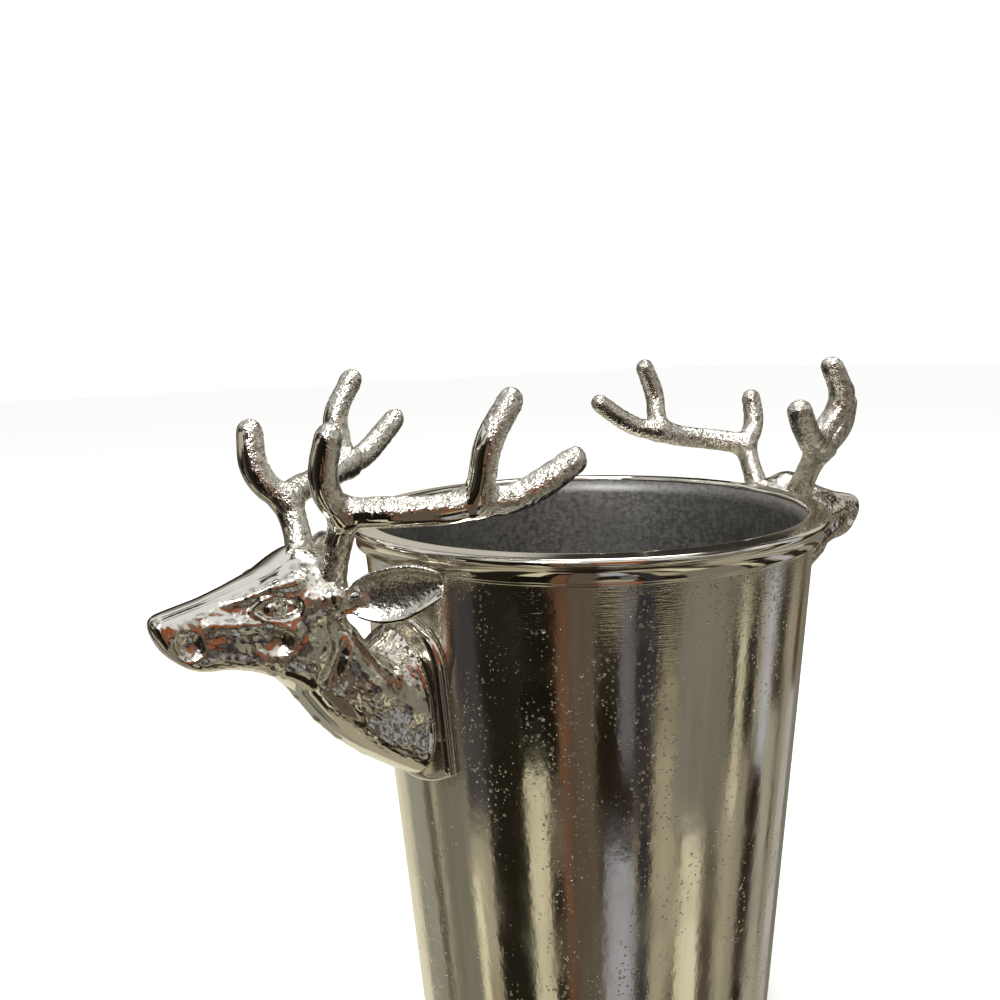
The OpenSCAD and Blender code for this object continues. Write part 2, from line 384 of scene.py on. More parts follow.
# ---------------------------------------------------------------- turned pieces


def turning_tree():
    """Turns an outline into a closed body: the outline's points are rings, and soft noise ripples the skin."""
    tree, given = tree_with("turn_outline", [
        ("Outline points", "NodeSocketInt"),
        ("Steps round", "NodeSocketInt"),
        ("Ripple", "NodeSocketFloat"),
        ("Ripple width", "NodeSocketFloat"),
        ("Ripple height", "NodeSocketFloat"),
        ("Finish", "NodeSocketMaterial"),
    ])
    rings = put(tree, "ShaderNodeMath", {0: given.outputs["Outline points"], 1: 1.0}, operation="ADD")
    steps = put(tree, "ShaderNodeMath", {0: given.outputs["Steps round"], 1: 1.0}, operation="ADD")
    grid = put(tree, "GeometryNodeMeshGrid", {
        "Size X": 1.0, "Size Y": 1.0, "Vertices X": rings, "Vertices Y": steps})
    index = put(tree, "GeometryNodeInputIndex")
    ring = put(tree, "ShaderNodeMath", {0: index, 1: steps}, operation="DIVIDE")
    ring = put(tree, "ShaderNodeMath", {0: ring}, operation="FLOOR")
    step = put(tree, "ShaderNodeMath", {0: index, 1: steps}, operation="MODULO")
    wrapped = put(tree, "ShaderNodeMath", {0: ring, 1: given.outputs["Outline points"]},
                  operation="MODULO")
    turn = put(tree, "ShaderNodeMath", {0: step, 1: 2 * math.pi}, operation="MULTIPLY")
    angle = put(tree, "ShaderNodeMath", {0: turn, 1: given.outputs["Steps round"]}, operation="DIVIDE")
    here = put(tree, "GeometryNodeInputPosition")
    outline = put(tree, "GeometryNodeSampleIndex", {
        "Geometry": given.outputs["Geometry"], "Value": here, "Index": wrapped},
        data_type="FLOAT_VECTOR", domain="POINT")
    part = put(tree, "ShaderNodeSeparateXYZ", {0: outline})
    cos = put(tree, "ShaderNodeMath", {0: angle}, operation="COSINE")
    sin = put(tree, "ShaderNodeMath", {0: angle}, operation="SINE")
    x = put(tree, "ShaderNodeMath", {0: cos, 1: part.outputs["X"]}, operation="MULTIPLY")
    y = put(tree, "ShaderNodeMath", {0: sin, 1: part.outputs["X"]}, operation="MULTIPLY")
    place = put(tree, "ShaderNodeCombineXYZ", {0: x, 1: y, 2: part.outputs["Z"]})
    turned = put(tree, "GeometryNodeSetPosition", {"Geometry": grid.outputs["Mesh"], "Position": place})
    merged = put(tree, "GeometryNodeMergeByDistance", {"Geometry": turned, "Distance": SEAM_MM * MM})
    squeeze = put(tree, "ShaderNodeCombineXYZ", {
        0: given.outputs["Ripple width"], 1: given.outputs["Ripple width"], 2: given.outputs["Ripple height"]})
    spot = put(tree, "ShaderNodeVectorMath", {0: here, 1: squeeze}, operation="DIVIDE")
    wave = put(tree, "ShaderNodeTexNoise", {"Vector": spot, "Scale": 1.0, "Detail": 1.0})
    level = put(tree, "ShaderNodeMath", {0: wave, 1: 0.5}, operation="SUBTRACT")
    depth = put(tree, "ShaderNodeMath", {0: level, 1: given.outputs["Ripple"]}, operation="MULTIPLY")
    normal = put(tree, "GeometryNodeInputNormal")
    push = put(tree, "ShaderNodeVectorMath", {0: normal, "Scale": depth}, operation="SCALE")
    rippled = put(tree, "GeometryNodeSetPosition", {"Geometry": merged, "Offset": push})
    real = put(tree, "GeometryNodeRealizeInstances", {"Geometry": rippled})
    painted = put(tree, "GeometryNodeSetMaterial", {
        "Geometry": real, "Material": given.outputs["Finish"]})
    put(tree, "NodeGroupOutput", {0: painted})
    return tree


def turn_piece(name, outline, steps, material, ripple, ripple_width, ripple_height):
    """A body turned from a closed outline of (radius, height) points in mm, listed anticlockwise."""
    source = new_piece(name + "_outline", [(r, 0, z) for r, z in outline], [])
    piece = bake_nodes(name, source, turning_tree(), {
        "Outline points": len(outline), "Steps round": steps, "Ripple": ripple * 2 * MM,
        "Ripple width": ripple_width * MM, "Ripple height": ripple_height * MM, "Finish": material})
    return tidy_skin(piece)


def arc(centre, radius, start, end, count=8):
    """Points of an arc in degrees, both ends included."""
    angles = np.radians(np.linspace(start, end, count + 1))
    return [(centre[0] + radius * math.cos(a), centre[1] + radius * math.sin(a)) for a in angles]


def line(a, b, count):
    """Evenly spaced points from a, up to but without b."""
    return [(a[0] + (b[0] - a[0]) * i / count, a[1] + (b[1] - a[1]) * i / count) for i in range(count)]


# ---------------------------------------------------------------- the stag's head, in its own frame
# X runs forward to the nose, Y to the stag's left and Z up from the rim, in mm.

ANTLER_SEAT = np.array([92.0, 9.0, -6.0])
STEM_MID = np.array([92.0, 13.0, 3.0])
EAR_SEAT = np.array([91.5, 14.5, -11.0])
EAR_YAW, EAR_PITCH, EAR_LEN = 135.0, -8.0, 28.0
PLATE_T = 2.5
PLATE_HALF_W, PLATE_TOP, PLATE_CORNER, PLATE_BOTTOM = 20.5, 21.0, 65.5, 72.0

# Side view of the face: forward distance, top, bottom, half width, and how much narrower
# the top is than the bottom
FACE_SECTIONS = (
    (90.0, -2.5, -34.0, 12.0, 0.10),
    (99.0, 1.0, -34.5, 12.0, 0.14),
    (104.0, -0.2, -33.4, 11.3, 0.18),
    (109.5, -2.6, -30.6, 9.9, 0.20),
    (117.0, -5.4, -28.1, 7.7, 0.24),
    (124.5, -7.5, -27.4, 6.5, 0.24),
    (131.0, -8.9, -26.4, 6.0, 0.20),
    (140.0, -11.0, -25.0, 5.4, 0.15),
)
# The neck in the same terms: it swells to the plate, and its throat is narrower than its nape
NECK_SECTIONS = (
    (58.0, -22.0, -72.0, 18.6, 0.00),
    (66.0, -22.4, -70.8, 17.8, 0.00),
    (69.0, -24.6, -69.4, 16.4, -0.02),
    (72.0, -26.4, -67.4, 15.4, -0.05),
    (76.0, -29.6, -64.6, 14.6, -0.10),
    (80.0, -31.0, -61.8, 13.9, -0.14),
    (84.0, -29.0, -58.6, 13.3, -0.18),
    (88.0, -20.0, -55.0, 12.8, -0.20),
    (92.0, -15.0, -50.8, 12.4, -0.20),
    (96.0, -15.0, -45.8, 11.8, -0.20),
    (100.0, -15.0, -39.6, 11.0, -0.15),
    (105.0, -15.0, -33.0, 9.0, -0.10),
)
# The polished bridge of the nose: forward distance and height
BRIDGE = ((80, 12), (97, 4.6), (102, 0.5), (107.4, -2.8), (112.8, -4.6), (123.3, -8.0), (133.3, -10.2), (142, -13.0))
# How far below the ridge the bridge is polished
BRIDGE_DEPTH = ((98, 9.0), (104, 7.6), (110, 5.8), (118, 4.6), (134, 4.2))
# The front of the muzzle: depth below the rim and forward distance
NOSE_FRONT = ((6, 131), (10.5, 135.4), (12.4, 136.6), (15.5, 136.4), (20.3, 134.2), (23.8, 130.9), (26, 128), (29, 122))
# The underside of the neck, from the jaw to the plate
THROAT = ((104, -32.6), (99, -40.4), (93.8, -48.0), (88.2, -54.2), (80.9, -60.6), (71.7, -67.2))


def softened(rows, step=0.5):
    """A table read off a smooth curve through its rows, one row for each step of its first column."""
    rows = np.array(rows, float)
    x = np.arange(rows[0, 0], rows[-1, 0] + step / 2, step)
    coarse = np.column_stack([np.interp(x, rows[:, 0], rows[:, i]) for i in range(rows.shape[1])])
    reach = int(2.5 / step)
    padded = np.pad(coarse, ((reach, reach), (0, 0)), mode="reflect", reflect_type="odd")
    window = np.hanning(2 * reach + 3)[1:-1]
    window /= window.sum()
    return np.column_stack([np.convolve(padded[:, i], window, "valid") for i in range(rows.shape[1])])


FACE_TABLE, NECK_TABLE = softened(FACE_SECTIONS), softened(NECK_SECTIONS)
BRIDGE_TABLE, FRONT_TABLE = softened(BRIDGE), softened(NOSE_FRONT)


def section_solid(p, table, power):
    """A body whose cross-sections stand square to X."""
    x, y, z = p.T
    top, bottom, half, taper = (np.interp(x, table[:, 0], table[:, i]) for i in (1, 2, 3, 4))
    mid, tall = (top + bottom) / 2, (top - bottom) / 2
    s = (z - mid) / tall
    wide = half * (1 - taper * np.clip(s, -1, 1))
    r = (np.abs(s) ** power + np.abs(y / wide) ** power) ** (1 / power)
    return (r - 1) * np.minimum(tall, wide)


def turned_about_y(degrees):
    """Axes of a solid tipped nose-down by an angle."""
    return np.array(Matrix.Rotation(math.radians(degrees), 3, "Y"))


def bridge_gap(p):
    """How far a point stands above the bridge of the nose."""
    return p[:, 2] - np.interp(p[:, 0], BRIDGE_TABLE[:, 0], BRIDGE_TABLE[:, 1])


def nose_gap(p):
    """How far a point stands in front of the rounded muzzle."""
    front = np.interp(-p[:, 2], FRONT_TABLE[:, 0], FRONT_TABLE[:, 1])
    return 0.85 * (p[:, 0] - front) + 0.04 * p[:, 1] ** 2


def throat_gap(p):
    """How far a point stands from the line of the throat, seen from the side."""
    flat = np.column_stack([p[:, 0], np.zeros(len(p)), p[:, 2]])
    line_up = [(x, 0, z) for x, z in THROAT]
    return np.min([rod(flat, a, b, 0, 0) for a, b in zip(line_up, line_up[1:])], axis=0)


def taper_gap(p, grow):
    """How far a point stands outside the wall's taper, grown by a thickness."""
    return np.hypot(p[:, 0], p[:, 1]) - wall_r(p[:, 2] + RIM_Z) - grow


def eye_parts(q):
    """The eyeball, and the two lids as one rim."""
    ball = egg(q, (107.2, 7.6, -12.3), (3.2, 2.6, 2.7))
    upper = [(113.4, 7.6, -12.2), (110.4, 9.0, -9.6), (107.0, 9.6, -8.7), (103.7, 10.3, -9.7), (100.6, 11.0, -12.6)]
    lower = [(113.4, 7.6, -12.2), (110.2, 9.4, -14.8), (106.8, 10.1, -15.8), (103.4, 10.6, -15.2), (100.6, 11.0, -12.6)]
    lids = flow(chain(q, upper, (0.5, 0.8, 0.9, 0.8, 0.5), 0.5), chain(q, lower, (0.5, 0.8, 1.0, 0.9, 0.5), 0.5), 0.4)
    return ball, lids


def head_shape(p):
    """Distance to a cast head and neck, alike on both sides."""
    q = p.copy()
    q[:, 1] = np.abs(q[:, 1])
    skull = egg(q, (97.5, 0, -13.0), (13.5, 12.4, 13.6))
    face = np.maximum(section_solid(q, FACE_TABLE, 2.3), 96.0 - q[:, 0])
    d = flow(skull, face, 3.0)
    cheek = egg(q, (100.0, 5.8, -24.5), (11.0, 6.6, 9.0), turned_about_y(-20))
    d = flow(d, cheek, 2.5)
    neck = np.maximum(section_solid(q, NECK_TABLE, 2.3), q[:, 0] - 104.0)
    muscle = chain(q, [(90, 8.4, -24), (82, 10.6, -38), (73, 12.0, -46)], (5.0, 4.8, 4.0), 3.0)
    neck = flow(neck, muscle, 3.5)
    d = flow(d, neck, 3.0)
    throat = [(x, 0, z + 1.5) for x, z in THROAT]
    d = flow(d, chain(q, throat, (1.4, 1.6, 1.6, 1.6, 1.6, 1.6), 1.0), 2.2)
    # the chin, the cheekbone, and the brow with an arc over the eye
    d = flow(d, egg(q, (127.3, 0, -23.6), (4.6, 4.3, 2.6)), 1.8)
    d = flow(d, chain(q, [(123, 5.2, -14.8), (115, 7.4, -15.6), (103, 10.6, -17.6)], (1.3, 1.4, 1.7), 1.0), 1.8)
    brow = [(118, 4.6, -10.2), (112.6, 7.0, -8.6), (107.5, 8.6, -6.9), (102.0, 9.8, -6.0)]
    d = flow(d, chain(q, brow, (0.9, 1.2, 1.5, 2.0), 1.0), 1.5)
    # sockets for the antlers and the ears
    d = flow(d, rod(q, (94.5, 5.0, -14.0), ANTLER_SEAT, 5.6, 4.3), 3.2)
    d = flow(d, rod(q, (97.0, 9.0, -12.5), EAR_SEAT + (0.7, -0.7, 0), 4.8, 3.5), 2.2)
    # hollows: eye socket, cheek, behind the jaw, side of the throat, and the nostril's pocket
    d = carve(d, egg(q, (107.2, 11.0, -12.3), (6.0, 2.6, 3.6)), 1.2)
    d = carve(d, egg(q, (112.2, 11.2, -20.2), (7.0, 3.0, 3.2), turned_about_y(-8)), 3.0)
    d = carve(d, chain(q, [(91.0, 14.8, -17.0), (92.4, 13.8, -26.0), (95.6, 12.0, -33.0)], (1.2, 1.4, 1.0), 0.5), 2.4)
    d = carve(d, chain(q, [(97.5, 14.2, -38.0), (91, 15.4, -44.6), (84, 16.6, -51.6)], (2.4, 3.4, 2.6), 1.0), 2.6)
    d = carve(d, egg(q, (129.0, 7.2, -18.8), (3.9, 3.0, 4.3), turned_about_y(20)), 1.0)
    ball, lids = eye_parts(q)
    d = flow(flow(d, ball, 0.5), lids, 0.7)
    d = meet(d, bridge_gap(q), 2.2)
    d = meet(d, nose_gap(q), 1.4)
    return np.maximum(d, -taper_gap(p, PLATE_T + 0.02))


def head_polish(p):
    """1 where a polishing wheel reached the head, 0 where the cast fur is left."""
    ragged = 0.5 * grain(p, 1.5, 71) + 0.4 * grain(p, 4.0, 72)
    depth = np.interp(p[:, 0], *np.transpose(BRIDGE_DEPTH))
    side_on = np.abs(p[:, 1]) * 0.35
    bridge = smooth(bridge_gap(p) + depth - side_on + 0.45 * ragged, -0.3, 0.4) * smooth(p[:, 0] + ragged, 98, 102)
    pad = smooth(nose_gap(p) + 0.4 * ragged, -2.6, -1.9)
    throat = 1 - smooth(throat_gap(p) + 0.2 * ragged, 3.1, 4.8)
    flare = smooth(-taper_gap(p, PLATE_T), -2.2, -1.0)
    q = np.column_stack([p[:, 0], np.abs(p[:, 1]), p[:, 2]])
    hollow = chain(q, [(96.5, 11.5, -37.5), (91, 12.2, -44), (84.5, 13.0, -51)], (2.4, 3.2, 2.4), 1.0)
    side = 0.9 * smooth(-hollow - ragged, -0.5, 0.3)
    ball, lids = eye_parts(q)
    eye = 0.8 * smooth(-np.minimum(ball, lids), -0.3, 0.1)
    cheek = 0.5 * smooth(-egg(q, (113.0, 9.0, -19.4), (3.4, 4.0, 1.3)) - ragged, -0.5, 0.4)
    return np.clip(np.max([bridge, pad, throat, flare, side, eye, cheek], axis=0), 0, 1)


def fur_height(p, seed):
    """Cast fur: short tufts that slope back and down along the head, with finer grain between them."""
    along, across = 0.8 * p[:, 0] + 0.6 * p[:, 2], 0.8 * p[:, 2] - 0.6 * p[:, 0]
    lie = np.column_stack([along / 1.8, p[:, 1], across])
    tufts = 1 - np.abs(grain(lie, 1.1, seed))
    fine = grain(p, 0.95, seed + 5)
    broad = grain(p, 4.5, seed + 9)
    return 0.9 * (tufts - 0.6) + 0.25 * fine + 0.7 * broad


def lumps(p, seed):
    """Soft unevenness of a hand-finished casting."""
    return grain(p, 7.0, seed) + 0.5 * grain(p, 3.2, seed + 3)


# ---------------------------------------------------------------- ears, antlers and plates


def seat_axes():
    """Axes at an antler's seat, with the third up the stem."""
    up = STEM_MID - ANTLER_SEAT
    return np.array(Matrix.Rotation(-math.atan2(up[1], up[2]), 3, "X"))


def leaned(points, lean):
    """Points of an upright antler, leaned fore or aft about its seat."""
    turn = np.array(Matrix.Rotation(math.radians(lean), 3, "Y"))
    return (np.asarray(points, float) - ANTLER_SEAT) @ turn.T + ANTLER_SEAT


# Across an antler's own flat, outwards and a little forward
ANTLER_FLAT = np.array([0.44, 0.885, -0.15]) / np.linalg.norm([0.44, 0.885, -0.15])
# Each branch: its points and its radii
ANTLER_BRANCHES = (
    (((92, 9, -6), (92, 13, 3), (92.5, 17, 11)), (4.1, 3.4, 3.9)),
    (((92.5, 17, 11), (97.6, 18.4, 15.2), (100.4, 20, 21), (100.2, 21.5, 28.5)), (3.5, 3.5, 3.5, 3.3)),
    (((92.5, 17, 11), (87, 23, 12.3), (81.5, 27.5, 13), (73, 32.5, 14.2), (65.5, 36, 16.5)), (3.7, 3.8, 3.7, 3.8, 4.2)),
    (((65.5, 36, 16.5), (66.6, 39, 23), (67.0, 41, 30.5), (62.5, 41.5, 40.2)), (3.6, 3.4, 3.4, 3.2)),
    (((65.5, 36, 16.5), (58.5, 40, 17.6), (51.5, 43, 21.4), (44, 46, 27)), (3.6, 3.4, 3.4, 3.2)),
)


def curve_through(points, values, count=14):
    """A smooth path through points, with a number carried along it."""
    rows = np.column_stack([np.array(points, float), values])
    rows = np.vstack([2 * rows[0] - rows[1], rows, 2 * rows[-1] - rows[-2]])
    out = []
    for i in range(1, len(rows) - 2):
        for t in np.arange(count) / count:
            a, b, c, d = rows[i - 1:i + 3]
            out.append(0.5 * (2 * b + (c - a) * t + (2 * a - 5 * b + 4 * c - d) * t * t
                              + (3 * b - a - 3 * c + d) * t ** 3))
    out.append(rows[-2])
    out = np.array(out)
    return out[:, :3], out[:, 3]


def antler_shape(p):
    """Distance to one upright antler: deeper across its flat than it is wide."""
    def squeeze(a):
        a = np.asarray(a, float)
        return a - 0.12 * np.outer((a - ANTLER_SEAT) @ ANTLER_FLAT, ANTLER_FLAT)
    q = squeeze(p)
    total = None
    for points, radii in ANTLER_BRANCHES:
        path, r = curve_through(points, radii)
        branch = chain(q, squeeze(path), r, 0.3)
        total = branch if total is None else flow(total, branch, 2.0)
    foot = (p - ANTLER_SEAT) @ seat_axes()[:, 2]
    return np.maximum(total, -foot)


def ear_axes():
    """Axes at an ear's seat, with the first out along the ear."""
    turn = Matrix.Rotation(math.radians(EAR_YAW), 3, "Z") @ Matrix.Rotation(math.radians(EAR_PITCH), 3, "Y")
    return np.array(turn)


EAR_OUTLINE = softened(((-2, 2.6), (2, 3.0), (5, 5.0), (10, 6.9), (15.5, 7.1), (20, 6.3), (24.5, 4.6), (29, 2.0)))


def ear_shape(p):
    """Distance to an ear: a cupped leaf with a raised border, a lifted tip and a round root."""
    u, w, v = ((p - EAR_SEAT) @ ear_axes()).T
    w = -w
    v = v + 0.9 - 1.6 * smooth(u, 10, 29)
    half = np.interp(u, EAR_OUTLINE[:, 0], EAR_OUTLINE[:, 1])
    across = v / np.maximum(half, 0.5)
    cup = 2.2 * across ** 2 - 1.7 + 0.9 * smooth(u, 16, 28)
    leaf = np.abs(w - cup) - (0.85 + 0.3 * smooth(-u, -9, -3))
    edge = (np.abs(v) - half) * 0.85
    d = meet(leaf, edge, 0.9)
    border = np.hypot((np.abs(v) - half + 0.9) * 0.9, w - cup - 0.2) - 1.0
    border = np.maximum(border, np.maximum(4.0 - u, u - EAR_LEN + 0.9))
    d = flow(d, border, 0.6)
    d = flow(d, rod(np.column_stack([u, v, w]), (0, 0, -0.4), (4.0, 0, -1.6), 3.2, 1.6), 2.2)
    d = meet(d, u - EAR_LEN + 0.4, 0.8)
    return np.maximum(d, -u)


def plate_shape(p):
    """Distance to a neck plate: a curved shield that lies on the wall, with a rounded front edge."""
    y, z = np.abs(p[:, 1]), p[:, 2]
    shoulder = 14.0
    mid_z = (-PLATE_TOP - PLATE_BOTTOM - 12.0) / 2
    half_z = (PLATE_BOTTOM + 12.0 - PLATE_TOP) / 2
    qy, qz = y - PLATE_HALF_W + shoulder, np.abs(z - mid_z) - half_z + shoulder
    box = np.hypot(np.maximum(qy, 0), np.maximum(qz, 0)) + np.minimum(np.maximum(qy, qz), 0) - shoulder
    bow = PLATE_BOTTOM - PLATE_CORNER
    bow_r = (PLATE_HALF_W ** 2 + bow ** 2) / (2 * bow)
    foot = np.hypot(y, z + PLATE_BOTTOM - bow_r) - bow_r
    outline = np.maximum(box, np.where(z < -PLATE_CORNER + 12, foot, -99.0))
    front = taper_gap(p, PLATE_T)
    return np.maximum(meet(outline, front, 2.4), -taper_gap(p, 0.0))


# ---------------------------------------------------------------- finishes
# A Mix node set to RGBA takes colours at inputs 6 and 7 and gives its result at output 2; set
# to FLOAT it takes numbers at inputs 2 and 3. A Map Range node takes its value at input 0, the
# range it comes from at 1 and 2, and the range it goes to at 3 and 4.


def metal(name, colour, roughness):
    """A metal material with an empty tree to build its pattern in, and its shader."""
    material = bpy.data.materials.new(name)
    material.use_nodes = True
    tree = material.node_tree
    tree.nodes.clear()
    shader = put(tree, "ShaderNodeBsdfPrincipled", {
        "Base Color": linear(colour), "Metallic": 1.0, "Roughness": roughness})
    put(tree, "ShaderNodeOutputMaterial", {"Surface": shader})
    return material, tree, shader


SOFT = {"interpolation_type": "SMOOTHSTEP"}


def object_spot(tree, stretch=(1.0, 1.0, 1.0)):
    """Object coordinates in mm, stretched along the axes."""
    place = put(tree, "ShaderNodeTexCoord")
    scale = [s / MM for s in stretch]
    return put(tree, "ShaderNodeMapping", {"Vector": place.outputs["Object"], "Scale": scale})


def mottle(tree, size_mm, detail, stretch=(1.0, 1.0, 1.0)):
    """Soft mottling over a piece, from 0 to 1, with spots of a size in mm before they are stretched."""
    spot = object_spot(tree, stretch)
    return put(tree, "ShaderNodeTexNoise", {"Vector": spot, "Scale": 1 / size_mm, "Detail": detail})


def shaded(tree, pattern, low, high, start, end, most=1.0):
    """One colour that gives way to another as a pattern rises from low to high; most is its full share."""
    share = put(tree, "ShaderNodeMapRange", {0: pattern, 1: low, 2: high, 4: most}, **SOFT)
    return put(tree, "ShaderNodeMix", {0: share, 6: start, 7: end}, data_type="RGBA").outputs[2]


def dress(tree, shader, colour, rough, height, strength, depth_mm):
    """Gives a shader its colour, its roughness and a relief of a depth in mm."""
    relief = put(tree, "ShaderNodeBump", {"Height": height, "Strength": strength, "Distance": depth_mm * MM})
    feed(tree, shader, {"Base Color": colour, "Roughness": rough, "Normal": relief})


def pinholes(tree, spot, patch, spacing, rare, size):
    """Ragged pinholes, 1 inside: their spacing in mm, how many places stay empty, and their size in spacings."""
    rag_mm, soft_edge = 0.5, 0.12
    ragged = put(tree, "ShaderNodeTexNoise", {"Vector": spot, "Scale": 1 / rag_mm, "Detail": 2.0}).outputs[1]
    ragged = put(tree, "ShaderNodeVectorMath", {0: ragged, "Scale": 0.35 * spacing}, operation="SCALE")
    pushed = put(tree, "ShaderNodeVectorMath", {0: spot, 1: ragged}, operation="ADD")
    holes = put(tree, "ShaderNodeTexVoronoi", {"Vector": pushed, "Scale": 1 / spacing, "Randomness": 1.0})
    chance = put(tree, "ShaderNodeSeparateColor", {0: holes.outputs["Color"]})
    chance = put(tree, "ShaderNodeMath", {0: chance, 1: patch}, operation="MULTIPLY")
    reach = put(tree, "ShaderNodeMapRange", {0: chance, 1: rare, 2: 1.0, 3: 0.0, 4: size}, **SOFT)
    deep = put(tree, "ShaderNodeMath", {0: reach, 1: holes.outputs["Distance"]}, operation="SUBTRACT")
    return put(tree, "ShaderNodeMapRange", {0: deep, 1: 0.0, 2: soft_edge}, **SOFT)


def polished_wall(looks):
    """Polished nickel plate on a sand casting: bright and mirror-like, with pinholes in clusters, a soft
    orange peel, faint turning lines under the collar and upright streaks left by the buffing wheel."""
    material, tree, shader = metal("polished_nickel_wall", looks.nickel, 0.07)
    spot = object_spot(tree)
    streak = mottle(tree, 5.0, 3.0, (1.0, 1.0, 0.06))
    tint = shaded(tree, streak, 0.35, 0.7, linear(looks.nickel), linear("D2CCBE"))
    patch = mottle(tree, 11.0, 4.0, (1.0, 1.0, 0.4))
    patch = put(tree, "ShaderNodeMapRange", {0: patch, 1: 0.40, 2: 0.60, 3: 0.45, 4: 1.0}, **SOFT)
    small, large = pinholes(tree, spot, patch, 1.0, 0.22, 0.44), pinholes(tree, spot, patch, 2.4, 0.38, 0.28)
    pit = put(tree, "ShaderNodeMath", {0: small, 1: large}, operation="MAXIMUM")
    colour = put(tree, "ShaderNodeMix", {0: pit, 6: tint, 7: linear("D2CAB4")}, data_type="RGBA").outputs[2]
    cloud = mottle(tree, 22.0, 2.0)
    haze = put(tree, "ShaderNodeMapRange", {0: cloud, 1: 0.35, 2: 0.7, 3: 0.10, 4: 0.19}, **SOFT)
    rough = put(tree, "ShaderNodeMix", {0: pit, 2: haze, 3: 0.30}, data_type="FLOAT")
    # turning lines and grit fade out at these depths below the collar, over the orange peel
    height = put(tree, "ShaderNodeSeparateXYZ", {0: spot}).outputs["Z"]
    skin = mottle(tree, 3.5, 3.0, (1.0, 1.0, 0.5))
    for size_mm, stretch, far, near in ((0.5, (0.10, 0.10, 1.3), 26.0, 8.0), (0.55, (1.0, 1.0, 1.0), 5.0, 0.4)):
        band = {0: height, 1: COLLAR_FOOT_Z - far, 2: COLLAR_FOOT_Z - near}
        band = put(tree, "ShaderNodeMapRange", band, **SOFT)
        marks = mottle(tree, size_mm, 3.0, stretch)
        marks = put(tree, "ShaderNodeMath", {0: marks, 1: band}, operation="MULTIPLY")
        skin = put(tree, "ShaderNodeMath", {0: marks, 1: skin}, operation="ADD")
    waves = put(tree, "ShaderNodeBump", {"Height": skin, "Strength": 0.6, "Distance": 0.10 * MM})
    dented = {"Height": pit, "Strength": 1.0, "Distance": 0.40 * MM, "Normal": waves}
    dented = put(tree, "ShaderNodeBump", dented, invert=True)
    feed(tree, shader, {"Base Color": colour, "Roughness": rough, "Normal": dented})
    return material


def polished_collar(looks):
    """Bright buffed nickel: the smoothest surface on the bucket, with fine buffing lines round it."""
    material, tree, shader = metal("buffed_nickel_collar", looks.nickel, 0.05)
    cloud = mottle(tree, 9.0, 3.0)
    tints = {0: cloud, 6: linear(looks.nickel), 7: linear("D6D1C5")}
    colour = put(tree, "ShaderNodeMix", tints, data_type="RGBA").outputs[2]
    rough = put(tree, "ShaderNodeMapRange", {0: cloud, 1: 0.3, 2: 0.75, 3: 0.03, 4: 0.13}, **SOFT)
    dress(tree, shader, colour, rough, mottle(tree, 0.6, 2.0, (0.06, 0.06, 1.0)), 0.12, 0.06)
    return material


def satin_inside(looks):
    """The unpolished inside: dull grey, as it was turned and left, with drag marks and water stains."""
    material, tree, shader = metal("satin_nickel_inside", looks.inside, 0.42)
    drag, fleck = mottle(tree, 0.9, 3.0, (0.4, 0.4, 1.0)), mottle(tree, 1.6, 3.0, (1.0, 1.0, 0.7))
    mark = put(tree, "ShaderNodeMath", {0: drag, 1: fleck}, operation="ADD")
    colour = shaded(tree, mark, 0.75, 1.25, linear("7D7C7A"), linear(looks.inside))
    colour = shaded(tree, mottle(tree, 26.0, 4.0), 0.5, 0.75, colour, linear("737270"), 0.6)
    rough = put(tree, "ShaderNodeMapRange", {0: mark, 1: 0.75, 2: 1.25, 3: 0.42, 4: 0.54}, **SOFT)
    dress(tree, shader, colour, rough, mark, 0.5, 0.05)
    return material


def cast_nickel(name, looks, grit_mm, grit_depth, rough_polished, rough_cast):
    """Nickel over a sand casting: the piece's polish mark says where the wheel reached. There it is a mirror;
    elsewhere the mould's grit is left, duller, with painted shade darkening its hollows."""
    material, tree, shader = metal(name, looks.nickel, 0.2)
    polish = put(tree, "ShaderNodeAttribute", attribute_name="polish").outputs["Fac"]
    hollow = put(tree, "ShaderNodeAttribute", attribute_name="hollow").outputs["Fac"]
    grit = mottle(tree, grit_mm, 3.0)
    specks = put(tree, "ShaderNodeTexVoronoi", {"Vector": object_spot(tree), "Scale": 1 / (1.6 * grit_mm)})
    bright, deep = linear(looks.nickel), linear(looks.nickel_deep)
    # painted shade: the hollow mark darkens the grooves of the fur and grit towards the nickel in hollows
    colour = put(tree, "ShaderNodeMix", {0: hollow, 6: bright, 7: deep}, data_type="RGBA").outputs[2]
    colour = shaded(tree, grit, 0.62, 0.8, colour, deep, 0.35)
    uneven = {0: grit, 1: 0.3, 2: 0.7, 3: rough_cast - 0.08, 4: rough_cast + 0.08}
    uneven = put(tree, "ShaderNodeMapRange", uneven, **SOFT)
    rough = put(tree, "ShaderNodeMix", {0: polish, 2: uneven, 3: rough_polished}, data_type="FLOAT")
    left = put(tree, "ShaderNodeMapRange", {0: polish, 1: 0.0, 2: 1.0, 3: 1.0, 4: 0.06}, **SOFT)
    height = put(tree, "ShaderNodeMath", {0: grit, 1: specks}, operation="ADD")
    height = put(tree, "ShaderNodeMath", {0: height, 1: left}, operation="MULTIPLY")
    dress(tree, shader, colour, rough, height, 0.8, grit_depth)
    return material


